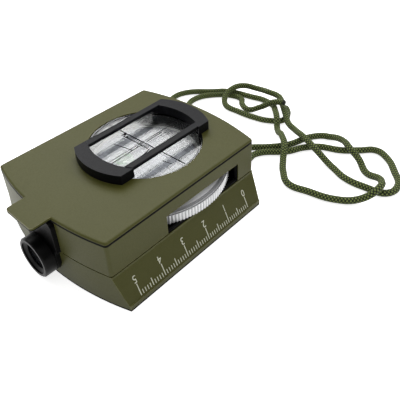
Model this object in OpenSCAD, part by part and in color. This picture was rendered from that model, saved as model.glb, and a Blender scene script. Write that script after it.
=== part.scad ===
// Box compass with a hinged sighting frame, a turning azimuth ring and a prism eyepiece.
// X is the width, Y runs from the eyepiece end to the lanyard end, Z is up, and z = 0 is the underside.

/* [Case] */
// Width of the upper case
case_w = 54.2; // [53.6:0.1:56]
// Length over the two convex ends
case_l = 71.5; // [71.5:0.1:73]
// Length between the corners, where the convex ends begin
corner_l = 63.7; // [62:0.1:64]
// Height of the flat top above the underside
case_h = 25.4; // [25.2:0.1:25.5]
// Height of the seam between the base and the upper case
seam_z = 12; // [12:0.05:12.1]
// Wall thickness of both castings
wall = 1.6; // [1.4:0.1:1.7]
// Thickness of the top plate
deck_t = 1.4; // [1.2:0.1:1.6]
// Radius of the rounded top edge
edge_r = 0.7; // [0.3:0.1:1]
// Radius of the upright corners of the upper case
corner_r = 1.2; // [1.1:0.1:1.5]

/* [Base] */
// Width over the two ruler bevels, at the lip
base_w = 63.6; // [62:0.1:66]
// Height of the upright lip below each bevel
lip_h = 2.0; // [1.8:0.1:2.5]
// How far the lip stands out past the foot of the bevel
lip_step = 0.4; // [0.2:0.1:0.6]
// Height at which each bevel meets the upright wall
bevel_top = 11.3; // [10.5:0.1:11.6]

/* [Tab] */
// Width of the tab over the eyepiece
tab_w = 13.4; // [12:0.1:15]
// How far the tab and the lanyard lug reach past the convex ends
reach = 6.15; // [5.5:0.05:6.5]
// Thickness of the tab
tab_t = 1.0; // [0.8:0.1:1.3]

/* [Window] */
// Radius of the round window in the top plate
window_r = 19.8; // [19.7:0.05:20]
// Distance of the window's centre from the middle of the case
window_y = 7.35; // [7.2:0.05:7.4]

/* [Azimuth ring] */
// Outer radius over the knurled edge
ring_r = 28.3; // [28:0.05:28.3]
// Height of the knurled band
band_h = 3.9; // [3.5:0.1:4.1]
// Number of knurl teeth
knurl_teeth = 150; // [90:2:180]
// Depth of the knurl
knurl_depth = 0.3; // [0.2:0.05:0.4]
// Length of each side slot that the ring shows through
slot_l = 33.5; // [32:0.1:35]
// Height of the top edge of the side slots
slot_top = 19.5; // [19:0.1:20]

/* [Sighting frame] */
// Width of the frame's two end slabs
frame_w = 23.4; // [22.9:0.1:25]
// Width over the two side bars between the slabs
bars_w = 22.8; // [22:0.1:22.8]
// Width of the long opening between the side bars
frame_open_w = 18; // [16:0.1:18.4]
// Near tip of the frame, measured from the middle of the case
frame_near_y = -16.1; // [-17:0.1:-15.8]
// Far tip of the frame, measured from the middle of the case
frame_far_y = 30.4; // [30.3:0.1:30.4]
// Height of the top of the end slabs
frame_top = 28.9; // [28.8:0.1:29.2]
// How far the side bars stand above the end slabs
bar_rise = 0.2; // [0.1:0.05:0.3]
// Thickness of the two side bars
side_bar_t = 1.2; // [1.1:0.1:1.6]

/* [Eyepiece] */
// Height of the eyepiece axis
eye_z = 8.5; // [8.4:0.05:8.6]
// Radius of the eyepiece barrel
barrel_r = 6.9; // [6.4:0.05:7]
// Front face of the barrel, measured from the middle of the case
barrel_front = -41.05; // [-41.6:0.05:-40.5]

/* [Card and inclinometer] */
// Radius of the floating card
card_r = 17.2; // [15:0.1:17.6]
// Radius of the inclinometer window in the underside
clino_r = 14.0; // [13:0.1:14.2]

/* [Lanyard] */
// Diameter of the cord
cord_d = 2.6; // [2.2:0.1:2.6]

/* [Hidden] */

$fn = 96;
// A hair that cutters and joined solids reach past each other, and the length past a face.
skin = 0.01;
past = 1;
olive = "#5F6040";
black = "#1C1C1E";
silver = "#C9CBCE";
clear = [0.85, 0.9, 0.9, 0.35];

// The convex ends are arcs through the corners and the tip of each end.
half_l = case_l / 2;
half_w = case_w / 2;
bulge = (case_l - corner_l) / 2;
end_r = (pow(half_w, 2) + pow(bulge, 2)) / (2 * bulge);
gasket_t = 0.5;
gasket_inset = 0.6;
upper_z = seam_z + gasket_t;
deck_z = case_h - deck_t;
tab_corner = 1.2;
tip = half_l + reach;

// Four screws from below hold the base to the upper case.
screw_spots = [[-22.5, -26.5], [22.5, -26.5], [-23.2, 29.2], [23.2, 29.2]];
boss_r = 2.4;
shank_r = 0.95;
shank_hole_r = 1.1;
head_r = 1.9;
head_hole_r = 2;
head_z = 0.3;
head_top = 1.4;
head_slot_w = 0.5;
head_slot_top = 0.8;
screw_top = 18;

// The azimuth ring lies on a slip ring and turns with the capsule inside it.
slip_top = 12.4;
ring_z = slip_top + 0.1;
band_top = ring_z + band_h;
band_edge = 0.35;
ring_core_r = ring_r - 2 * knurl_depth;
groove_r = 27.1;
groove_depth = 0.8;
cone_r = 26.4;
cone_tip_r = 22.6;
cone_top = 18.6;
slip_r = 19.6;
bearing_r = 23.5;
bearing_bore = 19.9;
bearing_z = 11;
shoulder_r = 22;
shoulder_z = cone_top + 0.3;
far_slot_w = 25;
far_slot_y = 30;
far_slot_top = 17;

// The capsule is a silver cup under a clear cap, which has a raised rim.
capsule_r = slip_r - 0.05;
capsule_bore = 18.5;
cup_z = 11.2;
cup_floor = 12.4;
cup_top = 19;
seal_t = 0.3;
cap_z = cup_top + seal_t;
glass_z = 23.8;
glass_top = 25;
rim_top = 25.15;
rim_r = 18.9;
seal_inset = 0.15;

// The card rides on a pointed post, and a small round level hangs under the cap.
card_z = 18.9;
card_t = 0.4;
magnet_w = 4;
magnet_l = 26;
magnet_t = 1.4;
post_r = 0.8;
post_boss_r = 2.4;
post_boss_top = 14;
post_shoulder = 18;
post_tip = 19.5;
post_tip_r = 0.08;
hub_r = 2.2;
hub_z = 18.3;
hub_top = 20.2;
hub_mouth_r = 1.4;
hub_seat_r = 0.2;
hub_seat_z = post_tip + 0.1;
level_y = window_y - 9.3;
level_r = 3.6;
level_z = 20.9;
level_wall = 0.5;
spirit_z = level_z + 0.4;
spirit_h = 1.7;

// The prism housing stands behind the eyepiece, partly proud of the case.
housing_w = 16;
housing_front = -36.9;
housing_inner = -33.7;
housing_back = -24;
housing_crown = 2;
bush_r = eye_z - wall;
tube_r = 5.5;
tube_bore = 5.55;
prism_leg = 5;
prism_front = -29.5;
lower_prism_z = 6;
upper_prism_z = 17.5;
shaft_w = 8;
exit_rim = 0.5;
seat_gap = 0.1;

// Depths behind the barrel's front face, and radii round its axis.
barrel_l = housing_front - 0.2 - barrel_front;
tube_end = prism_front - 0.7 - barrel_front;
lens_r = 5.65;
eye_bore = 4.4;
lens_seat = 3.1;
barrel_edge = 0.4;

// The frame's pin lies near its far tip, low over the top plate.
frame_z = case_h + 0.1;
frame_arc_r = 21.3;
open_arc_r = 22.4;
open_near_y = -10.8;
open_far_y = 25.2;
bar_top = frame_top + bar_rise;
knuckle_r = 1.7;
hinge_y = frame_far_y - knuckle_r;
hinge_z = frame_z + knuckle_r;
pin_r = 0.5;
pin_bore = 0.55;
pin_l = 11.2;
lug_r = 1.05;
lug_x = 3.4;
lug_w = 2.2;
lug_gap = 0.15;
wire_r = 0.1;
wire_z = frame_z + 0.3;

// The inclinometer hangs in a round chamber that opens downwards, under the capsule.
clino_wall_r = clino_r + 1.6;
clino_glass_r = clino_r + 1.1;
clino_glass_z = 0.5;
clino_step_z = 1.4;
clino_ring_z = 0.1;
clino_ring_bore = clino_r - 0.4;
clino_roof_z = 6;
clino_roof_t = 1;
clino_dial_t = 0.8;
clino_pin_r = 0.6;
clino_pin_z = 2.5;
clino_head_r = 1.1;
clino_head_t = 0.6;
pendulum_z = 3.2;
pendulum_t = 0.8;
pendulum_l = 23;
pendulum_bar_w = 1.2;
pendulum_hub_r = 1.8;
pendulum_hub_top = 5;
pendulum_bore = 0.65;
weight_r = 9;
weight_bore = 5;

// The lug holds the cord, which leaves it in two runs.
lug_hole_r = 1.8;
eye_lug_r = 2.9;
eye_lug_z = 8;
eye_lug_y = tip - eye_lug_r;
eye_lug_t = 3;
cord_sides = 8;
lanyard_long_route = [
    [0, 39, 8], [-2.5, 39, 8], [-6, 39.5, 7.5], [-20, 44.5, 4], [-34, 51.5, 1.3], [-41, 57.5, 1.3],
    [-43.5, 64, 1.3], [-42, 70, 1.3], [-32.5, 79, 1.3], [-28, 83, 1.3], [-15, 86.5, 1.3],
    [-8.5, 87.5, 1.3], [-3, 85.5, 2.2], [3, 79.5, 4.4], [7.5, 74.5, 4.2], [10, 71.5, 1.6],
    [15.5, 66.5, 3.8], [21.5, 60, 4.6], [24.5, 55, 2.4], [28.5, 49.5, 1.3], [34, 45, 1.3],
    [42, 46, 1.3], [50.5, 48, 1.3], [58, 53, 2], [61.5, 59, 4.6], [59.5, 65.5, 3.6],
    [52, 69, 1.3], [47, 72.5, 3], [42, 74.5, 4.6], [36, 79, 3.5], [29, 80.5, 1.3],
    [24.5, 77, 1.3], [19.5, 65, 1.3], [14.5, 59, 1.3], [9.5, 54.5, 1.3], [5, 48.5, 1.3],
    [5.5, 42.5, 1.3], [11, 41, 1.3], [13.5, 46, 1.3], [13.5, 52, 1.3], [22.5, 62, 1.3],
    [25.5, 67.5, 1.3], [30, 72, 1.3], [38, 75.5, 1.3], [43.5, 80, 1.3], [48.5, 84, 1.3],
    [54, 82, 1.3], [60, 76, 1.3], [64.5, 69.5, 1.3], [63.5, 63, 1.3], [56, 61, 1.3],
    [48, 61, 1.3], [40.5, 64, 1.3], [29, 67.5, 4.4], [23.5, 70, 4.6], [17, 74, 3],
    [12, 76.5, 3], [8, 80, 4.4], [3, 85, 4.4], [-2.5, 90, 4.4], [-9, 90.5, 4.4],
    [-15.5, 91, 3.6], [-21.5, 88, 4.4], [-23.5, 82.5, 4.6], [-23, 76.5, 3], [-19.5, 73, 1.3],
    [-12, 72.5, 1.3], [-4, 73, 1.3], [3, 75, 1.3], [7.5, 79, 1.3], [6, 85, 1.3], [2, 89, 1.3]
];
lanyard_short_route = [
    [0, 39, 8], [2.5, 39, 8], [5, 40, 7.5], [6, 44.5, 5.5], [-2, 49, 3], [-14, 52.5, 1.3],
    [-26, 56, 1.3], [-33, 62, 1.3], [-34.5, 69, 1.3], [-28.5, 78.5, 1.3], [-24, 81.3, 1.3],
    [-18, 82, 1.3], [-14.5, 78.5, 1.3], [-9.5, 76.5, 1.3], [-4.5, 79, 3.4], [0.5, 81, 6.8],
    [6.5, 82, 8.4]
];

// A box given by its low and high corners.
module block(low, high) {
    translate(low) cube(high - low);
}

// A round bar along X, and one along Y.
module rod_x(r, x0, x1, y, z) {
    translate([x0, y, z]) rotate([0, 90, 0]) cylinder(r = r, h = x1 - x0);
}

module rod_y(r, y0, y1, x, z) {
    translate([x, y1, z]) rotate([90, 0, 0]) cylinder(r = r, h = y1 - y0);
}

// A disc on the window's axis, or a ring where it has a bore.
module disc_at_window(r, z0, z1, bore = 0) {
    translate([0, window_y, z0])
        difference() {
            cylinder(r = r, h = z1 - z0);
            if (bore > 0) translate([0, 0, -skin]) cylinder(r = bore, h = z1 - z0 + 2 * skin);
        }
}

// Points of a quarter round edge, from its upright side to its flat side.
function round_edge(x, z, r, side) = [
    for (i = [0:4]) let (a = side > 0 ? 22.5 * i : 90 - 22.5 * i)
        [side * (x - r + r * cos(a)), z - r + r * sin(a)]
];

// A disc with a rounded top edge.
module edged_disc(r, z0, z1, edge) {
    translate([0, 0, z0])
        rotate_extrude($fn = 360)
            polygon(concat([[0, 0], [r, 0]], round_edge(r, z1 - z0, edge, 1), [[0, z1 - z0]]));
}

// The stretch between the two convex ends, drawn in by inset.
module between_ends(z0, z1, inset) {
    intersection() {
        translate([0, end_r - half_l, z0]) cylinder(r = end_r - inset, h = z1 - z0, $fn = 360);
        translate([0, half_l - end_r, z0]) cylinder(r = end_r - inset, h = z1 - z0, $fn = 360);
    }
}

// The plan of the case, drawn in by inset, between two heights.
module case_plan(z0, z1, inset) {
    intersection() {
        between_ends(z0, z1, inset);
        block([inset - half_w, -tip, z0], [half_w - inset, tip, z1]);
    }
}

// A bar along Y with the given outline in X and Z.
module along_case(outline) {
    translate([0, tip, 0])
        rotate([90, 0, 0])
            linear_extrude(2 * tip)
                polygon(outline);
}

// The centre of an upright corner's round lies this far along Y from the middle.
corner_x = half_w - corner_r;
corner_y = sqrt(pow(end_r - corner_r, 2) - pow(corner_x, 2)) - end_r + half_l;

// What lies outside the round of one upright corner.
module corner_cut() {
    out = 3 * corner_r;
    slope = corner_x / (end_r - corner_r);
    translate([0, 0, upper_z - past])
        linear_extrude(case_h)
            polygon([
                [corner_x, corner_y], [corner_x + out, corner_y], [corner_x + out, corner_y + out],
                [corner_x + out * slope, corner_y + out * sqrt(1 - slope * slope)]
            ]);
}

module upper_solid() {
    outline = concat(
        [[-half_w, upper_z], [half_w, upper_z]],
        round_edge(half_w, case_h, edge_r, 1),
        round_edge(half_w, case_h, edge_r, -1)
    );
    difference() {
        intersection() {
            along_case(outline);
            translate([0, end_r - half_l, 0]) edged_disc(end_r, upper_z, case_h, edge_r);
            translate([0, half_l - end_r, 0]) edged_disc(end_r, upper_z, case_h, edge_r);
        }
        for (mx = [0, 1], my = [0, 1])
            mirror([mx, 0, 0]) mirror([0, my, 0]) corner_cut();
    }
    for (sx = [-1, 1], sy = [-1, 1])
        translate([sx * corner_x, sy * corner_y, 0]) edged_disc(corner_r, upper_z, case_h, edge_r);
}

module tab_plate() {
    low = case_h - tab_t;
    block([-tab_w / 2, tab_corner - tip, low], [tab_w / 2, bulge - half_l, case_h]);
    block([tab_corner - tab_w / 2, -tip, low], [tab_w / 2 - tab_corner, bulge - half_l, case_h]);
    for (side = [-1, 1])
        translate([side * (tab_w / 2 - tab_corner), tab_corner - tip, low])
            cylinder(r = tab_corner, h = tab_t);
}

module hinge_lug(x) {
    rod_x(lug_r, x - lug_w / 2, x + lug_w / 2, hinge_y, hinge_z);
    block([x - lug_w / 2, hinge_y - lug_r, deck_z + deck_t / 2],
          [x + lug_w / 2, hinge_y + lug_r, hinge_z]);
}

module upper_case() color(olive) {
    difference() {
        union() {
            difference() {
                upper_solid();
                case_plan(upper_z - past, deck_z, wall);
            }
            tab_plate();
            disc_at_window(shoulder_r, shoulder_z, deck_z + skin);
            for (spot = screw_spots)
                translate([spot.x, spot.y, upper_z]) cylinder(r = boss_r, h = deck_z - upper_z + skin);
            hinge_lug(-lug_x);
            hinge_lug(lug_x);
        }
        disc_at_window(window_r, upper_z, case_h + past);
        // Slots for the azimuth ring
        for (side = [-1, 1])
            translate([side * half_w, window_y, (upper_z - past + slot_top) / 2])
                cube([3 * wall, slot_l, slot_top - upper_z + past], center = true);
        block([-far_slot_w / 2, far_slot_y, upper_z - past], [far_slot_w / 2, half_l + past, far_slot_top]);
        // Way in for the prism housing, and the line of sight from it through the shoulder
        block([-housing_w / 2 - seat_gap, -half_l - past, upper_z - past],
              [housing_w / 2 + seat_gap, 2 * wall - half_l, deck_z]);
        block([-shaft_w / 2, window_y - shoulder_r - past, shoulder_z - past],
              [shaft_w / 2, window_y - window_r + past, deck_z]);
        for (spot = screw_spots)
            translate([spot.x, spot.y, upper_z - past]) cylinder(r = shank_r, h = screw_top - upper_z + past);
        rod_x(pin_r, -pin_l / 2, pin_l / 2, hinge_y, hinge_z);
    }
}

module lanyard_lug() {
    difference() {
        union() {
            rod_x(eye_lug_r, -eye_lug_t / 2, eye_lug_t / 2, eye_lug_y, eye_lug_z);
            block([-eye_lug_t / 2, half_l - wall / 2, eye_lug_z - eye_lug_r],
                  [eye_lug_t / 2, eye_lug_y, eye_lug_z + eye_lug_r]);
        }
        rod_x(lug_hole_r, -eye_lug_t, eye_lug_t, eye_lug_y, eye_lug_z);
    }
}

module base_outer() {
    lip = base_w / 2;
    foot = lip - lip_step;
    intersection() {
        along_case([
            [-lip, 0], [lip, 0], [lip, lip_h], [foot, lip_h], [half_w, bevel_top], [half_w, seam_z],
            [-half_w, seam_z], [-half_w, bevel_top], [-foot, lip_h], [-lip, lip_h]
        ]);
        between_ends(0, seam_z, 0);
    }
}

module base_hollow() {
    foot = base_w / 2 - lip_step - wall;
    top = half_w - wall;
    knee_z = bevel_top - wall / 2;
    over_z = seam_z + past;
    intersection() {
        along_case([
            [-foot, wall], [foot, wall], [foot, lip_h], [top, knee_z], [top, over_z],
            [-top, over_z], [-top, knee_z], [-foot, lip_h]
        ]);
        between_ends(wall, over_z, wall);
    }
}

module base_shell() color(olive) {
    difference() {
        union() {
            difference() {
                base_outer();
                base_hollow();
            }
            disc_at_window(bearing_r, wall - skin, bearing_z, bearing_bore);
            disc_at_window(clino_wall_r, wall - skin, clino_roof_z + clino_roof_t);
            for (spot = screw_spots)
                translate([spot.x, spot.y, wall - skin]) cylinder(r = boss_r, h = upper_z - wall + skin);
        }
        // Chamber of the inclinometer, the seat of its window and the hole for its pin
        disc_at_window(clino_r, -past, clino_roof_z);
        disc_at_window(clino_glass_r, -past, clino_step_z);
        disc_at_window(clino_pin_r, clino_roof_z - past, clino_roof_z + clino_roof_t + past);
        // Notch for the bush of the prism housing
        rod_y(bush_r + seat_gap, -half_l - past, 2 * wall - half_l, 0, eye_z);
        block([-bush_r - seat_gap, -half_l - past, eye_z], [bush_r + seat_gap, 2 * wall - half_l, seam_z + past]);
        for (spot = screw_spots)
            translate([spot.x, spot.y, -past]) {
                cylinder(r = shank_hole_r, h = seam_z + 2 * past);
                cylinder(r = head_hole_r, h = head_top + past);
            }
    }
    lanyard_lug();
}

module case_gasket() color(black) {
    difference() {
        case_plan(seam_z, upper_z, gasket_inset);
        case_plan(seam_z - past, upper_z + past, wall);
        block([-housing_w / 2 - seat_gap, -tip, seam_z - past], [housing_w / 2 + seat_gap, 0, upper_z + past]);
        for (spot = screw_spots)
            translate([spot.x, spot.y, seam_z - past]) cylinder(r = boss_r + seat_gap, h = gasket_t + 2 * past);
    }
}

module case_screws() color(silver) {
    for (spot = screw_spots)
        translate([spot.x, spot.y, 0]) {
            difference() {
                translate([0, 0, head_z]) cylinder(r = head_r, h = head_top - head_z);
                block([-head_r, -head_slot_w / 2, 0], [head_r, head_slot_w / 2, head_slot_top]);
            }
            translate([0, 0, head_top - skin]) cylinder(r = shank_r, h = screw_top - head_top + skin);
        }
}

module slip_ring() color("ivory") {
    disc_at_window(bearing_r, bearing_z, slip_top, slip_r);
}

// One point on each side of every tooth, round the whole edge.
function knurl_edge(r, teeth, depth) = [
    for (i = [0 : 2 * teeth - 1]) let (a = 180 * i / teeth, edge = r - (i % 2) * depth)
        [edge * cos(a), edge * sin(a)]
];

module azimuth_ring() color(silver) {
    translate([0, window_y, 0]) {
        difference() {
            translate([0, 0, ring_z + band_edge])
                linear_extrude(band_h - 2 * band_edge)
                    polygon(knurl_edge(ring_r, knurl_teeth, knurl_depth));
            translate([0, 0, ring_z]) cylinder(r = ring_core_r - knurl_depth, h = band_h);
        }
        rotate_extrude($fn = 180)
            polygon([
                [capsule_r, ring_z], [ring_core_r, ring_z], [ring_core_r, band_top], [groove_r, band_top],
                [groove_r, band_top - groove_depth], [cone_r, band_top - groove_depth],
                [cone_r, band_top], [cone_tip_r, cone_top], [capsule_r, cone_top]
            ]);
    }
}

module capsule_cup() color(silver) {
    difference() {
        union() {
            disc_at_window(capsule_r, cup_z, cup_top, capsule_bore);
            disc_at_window(capsule_bore + skin, cup_z, cup_floor);
            disc_at_window(post_boss_r, cup_z, post_boss_top);
        }
        disc_at_window(post_r, cup_z - past, post_boss_top + past);
    }
}

module capsule_cap() color(clear) {
    difference() {
        disc_at_window(capsule_r, cap_z, rim_top);
        disc_at_window(capsule_bore, cap_z - past, glass_z);
        disc_at_window(rim_r, glass_top, rim_top + past);
    }
}

module capsule_gasket() color(black) {
    disc_at_window(capsule_r - seal_inset, cup_top, cap_z, capsule_bore + seal_inset);
}

module pivot_post() color("goldenrod") {
    translate([0, window_y, 0])
        rotate_extrude()
            polygon([[0, cup_z], [post_r, cup_z], [post_r, post_shoulder],
                     [post_tip_r, post_tip], [0, post_tip]]);
}

module level_vial() color(clear) {
    translate([0, level_y, level_z])
        difference() {
            cylinder(r = level_r, h = glass_z - level_z);
            translate([0, 0, spirit_z - level_z]) cylinder(r = level_r - level_wall, h = spirit_h);
        }
}

module level_spirit() color("palegreen") {
    translate([0, level_y, spirit_z]) cylinder(r = level_r - level_wall, h = spirit_h);
}

module compass_card() color("white") {
    disc_at_window(card_r, card_z, card_z + card_t, hub_r);
}

module card_magnet() color("dimgray") {
    difference() {
        translate([0, window_y, card_z - magnet_t / 2]) cube([magnet_w, magnet_l, magnet_t], center = true);
        disc_at_window(hub_r, card_z - 2 * magnet_t, card_z + magnet_t);
    }
}

module jewel_cup() color("goldenrod") {
    translate([0, window_y, hub_z])
        difference() {
            cylinder(r = hub_r, h = hub_top - hub_z);
            translate([0, 0, -skin])
                cylinder(r1 = hub_mouth_r, r2 = hub_seat_r, h = hub_seat_z - hub_z + skin);
        }
}

module prism_housing() color(black) {
    half = housing_w / 2;
    difference() {
        union() {
            block([-half, housing_inner, wall], [half, housing_back, upper_z + skin]);
            block([-half, housing_front, upper_z], [half, housing_back, deck_z - housing_crown]);
            block([housing_crown - half, housing_front, upper_z],
                  [half - housing_crown, housing_back, deck_z]);
            for (side = [-1, 1])
                rod_y(housing_crown, housing_front, housing_back,
                      side * (half - housing_crown), deck_z - housing_crown);
            rod_y(bush_r, housing_front, housing_back, 0, eye_z);
            block([-bush_r, housing_front, eye_z], [bush_r, housing_back, upper_z + skin]);
        }
        rod_y(tube_bore, housing_front - past, prism_front + skin, 0, eye_z);
        block([-shaft_w / 2, prism_front, lower_prism_z],
              [shaft_w / 2, prism_front + prism_leg, upper_prism_z + prism_leg]);
        block([-shaft_w / 2, prism_front, upper_prism_z + exit_rim],
              [shaft_w / 2, housing_back + past, upper_prism_z + prism_leg - exit_rim]);
    }
}

// A right-angle prism across the shaft, with its outline given in Y and Z.
module prism(points) {
    translate([-shaft_w / 2, 0, 0])
        rotate([90, 0, 90])
            linear_extrude(shaft_w)
                polygon(points);
}

module upper_prism() color(clear) {
    back = prism_front + prism_leg;
    prism([[prism_front, upper_prism_z], [back, upper_prism_z], [back, upper_prism_z + prism_leg]]);
}

module lower_prism() color(clear) {
    top = lower_prism_z + prism_leg;
    prism([[prism_front, lower_prism_z], [prism_front + prism_leg, top], [prism_front, top]]);
}

// A turned piece on the eyepiece axis, given by radii and depths behind the barrel's front.
module turned_on_eye_axis(points) {
    translate([0, barrel_front, eye_z])
        rotate([-90, 0, 0])
            rotate_extrude()
                polygon(points);
}

module eyepiece_barrel() color(black) {
    turned_on_eye_axis([
        [lens_r, 0], [barrel_r - barrel_edge, 0], [barrel_r, barrel_edge], [barrel_r, barrel_l], [tube_r, barrel_l],
        [tube_r, tube_end], [eye_bore, tube_end], [eye_bore, lens_seat], [lens_r, lens_seat]
    ]);
}

module eyepiece_lens() color([0.6, 0.7, 0.85, 0.4]) {
    turned_on_eye_axis([
        [0, 1.1], [1.5, 1.15], [3, 1.3], [4.5, 1.55], [lens_r, 1.8], [lens_r, lens_seat],
        [eye_bore, lens_seat], [3, 3.3], [1.5, 3.45], [0, 3.5]
    ]);
}

module lens_retainer() color(black) {
    turned_on_eye_axis([[4.5, 1.2], [lens_r, 0.5], [lens_r, 1.8], [4.5, 1.55]]);
}

// A long plate of width w, with arcs for its near and far ends.
module arc_ended(w, near, far, r, z0, z1) {
    middle = (near + far) / 2;
    intersection() {
        block([-w / 2, near, z0], [w / 2, middle + skin, z1]);
        translate([0, near + r, z0]) cylinder(r = r, h = z1 - z0);
    }
    intersection() {
        block([-w / 2, middle, z0], [w / 2, far, z1]);
        translate([0, far - r, z0]) cylinder(r = r, h = z1 - z0);
    }
}

module sight_frame() color(black) {
    side = frame_w;
    difference() {
        union() {
            // The two end slabs, hollowed by the same arcs as the opening
            difference() {
                arc_ended(frame_w, frame_near_y, frame_far_y, frame_arc_r, frame_z, frame_top);
                arc_ended(frame_w + past, open_near_y, open_far_y, open_arc_r, frame_z - past, frame_top + past);
            }
            // The two side bars, which stand a little higher
            difference() {
                arc_ended(bars_w, open_near_y - skin, open_far_y + skin, open_arc_r, bar_top - side_bar_t, bar_top);
                block([-frame_open_w / 2, open_near_y - past, frame_z],
                      [frame_open_w / 2, open_far_y + past, bar_top + past]);
            }
        }
        // Round of the far edge, which turns down past the pin
        difference() {
            block([-side, hinge_y, frame_z - past], [side, tip, hinge_z]);
            rod_x(knuckle_r, -side, side, hinge_y, hinge_z);
        }
        for (x = [-lug_x, lug_x]) {
            low = x - lug_w / 2 - lug_gap;
            high = x + lug_w / 2 + lug_gap;
            turn_r = lug_r + lug_gap;
            rod_x(turn_r, low, high, hinge_y, hinge_z);
            block([low, hinge_y - turn_r, frame_z - past], [high, tip, hinge_z]);
            block([low, hinge_y, frame_z - past], [high, tip, hinge_z + turn_r]);
        }
        rod_x(pin_bore, -pin_l / 2 - seat_gap, pin_l / 2 + seat_gap, hinge_y, hinge_z);
    }
}

module sight_wire() color(silver) {
    rod_y(wire_r, open_near_y, open_far_y, 0, wire_z);
}

module hinge_pin() color(silver) {
    rod_x(pin_r, -pin_l / 2, pin_l / 2, hinge_y, hinge_z);
}

module clino_window() color(clear) {
    disc_at_window(clino_glass_r, clino_glass_z, clino_step_z);
}

module clino_ring() color(black) {
    disc_at_window(clino_glass_r, clino_ring_z, clino_glass_z, clino_ring_bore);
}

module clino_dial() color("white") {
    disc_at_window(clino_r, clino_roof_z - clino_dial_t, clino_roof_z, clino_pin_r);
}

module clino_pin() color(silver) {
    disc_at_window(clino_pin_r, clino_pin_z, clino_roof_z + clino_roof_t);
    disc_at_window(clino_head_r, clino_pin_z, clino_pin_z + clino_head_t);
}

module clino_pendulum() color("firebrick") {
    top = pendulum_z + pendulum_t;
    difference() {
        union() {
            disc_at_window(pendulum_hub_r, pendulum_z, pendulum_hub_top);
            translate([0, window_y, pendulum_z + pendulum_t / 2])
                cube([pendulum_l, pendulum_bar_w, pendulum_t], center = true);
            intersection() {
                disc_at_window(weight_r, pendulum_z, top, weight_bore);
                block([-weight_r, window_y - weight_bore, pendulum_z], [0, window_y + weight_bore, top]);
            }
        }
        disc_at_window(pendulum_bore, pendulum_z - past, pendulum_hub_top + past);
    }
}

// The way a route runs at one of its points.
function route_dir(p, i) =
    let (a = p[max(i - 1, 0)], b = p[min(i + 1, len(p) - 1)])
    (b - a) / norm(b - a);

// A ring of points round a route at one of its points, with two sides level so that it never twists.
function route_ring(p, i) =
    let (d = route_dir(p, i), side = cross(d, [0, 0, 1]) / norm(cross(d, [0, 0, 1])), up = cross(side, d))
    [for (k = [0 : cord_sides - 1]) let (a = 360 * (k + 0.5) / cord_sides)
        p[i] + cord_d / 2 * (cos(a) * side + sin(a) * up)];

module tube_along(route) {
    last = len(route) - 1;
    n = cord_sides;
    polyhedron(
        points = [for (i = [0:last]) each route_ring(route, i)],
        faces = concat(
            [[for (k = [0 : n - 1]) k]],
            [for (i = [0 : last - 1], k = [0 : n - 1])
                each [[i * n + k, (i + 1) * n + k, (i + 1) * n + (k + 1) % n],
                      [i * n + k, (i + 1) * n + (k + 1) % n, i * n + (k + 1) % n]]],
            [[for (k = [n - 1 : -1 : 0]) last * n + k]]
        )
    );
}

module lanyard_long() color("#4C5530") {
    tube_along(lanyard_long_route);
}

module lanyard_short() color("#4C5530") {
    tube_along(lanyard_short_route);
}

upper_case();
base_shell();
case_gasket();
case_screws();
slip_ring();
azimuth_ring();
capsule_cup();
capsule_cap();
capsule_gasket();
pivot_post();
level_vial();
level_spirit();
compass_card();
card_magnet();
jewel_cup();
prism_housing();
upper_prism();
lower_prism();
eyepiece_barrel();
eyepiece_lens();
lens_retainer();
sight_frame();
sight_wire();
hinge_pin();
clino_window();
clino_ring();
clino_dial();
clino_pin();
clino_pendulum();
lanyard_long();
lanyard_short();
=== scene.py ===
import bmesh
import bpy
import math
from mathutils import Matrix, Vector


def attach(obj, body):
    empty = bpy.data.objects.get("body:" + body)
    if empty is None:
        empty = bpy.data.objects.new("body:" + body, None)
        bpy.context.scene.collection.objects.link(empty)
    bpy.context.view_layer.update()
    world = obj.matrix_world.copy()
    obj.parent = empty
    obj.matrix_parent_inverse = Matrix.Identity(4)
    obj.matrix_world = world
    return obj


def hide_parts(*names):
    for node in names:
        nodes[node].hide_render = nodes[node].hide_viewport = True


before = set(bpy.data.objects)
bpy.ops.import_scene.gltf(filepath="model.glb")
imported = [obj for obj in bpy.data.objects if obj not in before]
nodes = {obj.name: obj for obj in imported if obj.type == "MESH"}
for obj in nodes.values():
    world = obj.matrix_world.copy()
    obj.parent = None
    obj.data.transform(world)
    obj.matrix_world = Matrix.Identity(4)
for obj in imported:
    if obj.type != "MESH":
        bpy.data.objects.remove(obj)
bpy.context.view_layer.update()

scene = bpy.context.scene
scene.view_settings.view_transform = "Standard"
print("frame loaded:", len(nodes), "nodes")

milli = 0.001  # metres in a millimetre
halfMilli = milli / 2
noiseSpan = {1: 0.3, 2: 0.7}  # where a noise texture's values mostly lie, for a Map Range


def mm(*values):
    return Vector(values) * milli


def linear(hexColour):
    # the sRGB curve, undone
    channels = [int(hexColour[i:i + 2], 16) / 255 for i in (1, 3, 5)]
    return [*(c / 12.92 if c <= 0.04045 else ((c + 0.055) / 1.055) ** 2.4 for c in channels), 1.0]


def perMm(size):
    # a pattern's scale from the size of its grain in mm, with 1000 mm in the metre
    return 1000 / size


def addNode(tree, kind, inputs=None, **settings):
    # An input is a socket to link, a hex colour or a plain value. A Map Range takes its spans
    # at 1 to 4. A Mix takes its share at 0, numbers at 2 and 3, and colours at 6 and 7.
    node = tree.nodes.new("ShaderNode" + kind)
    for key, value in settings.items():
        setattr(node, key, value)
    for key, value in (inputs or {}).items():
        if isinstance(value, bpy.types.NodeSocket):
            tree.links.new(value, node.inputs[key])
        else:
            node.inputs[key].default_value = linear(value) if isinstance(value, str) else value
    return node


def newMaterial(name):
    material = bpy.data.materials.new(name)
    material.use_nodes = True
    material.node_tree.nodes.clear()
    return material, material.node_tree


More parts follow.
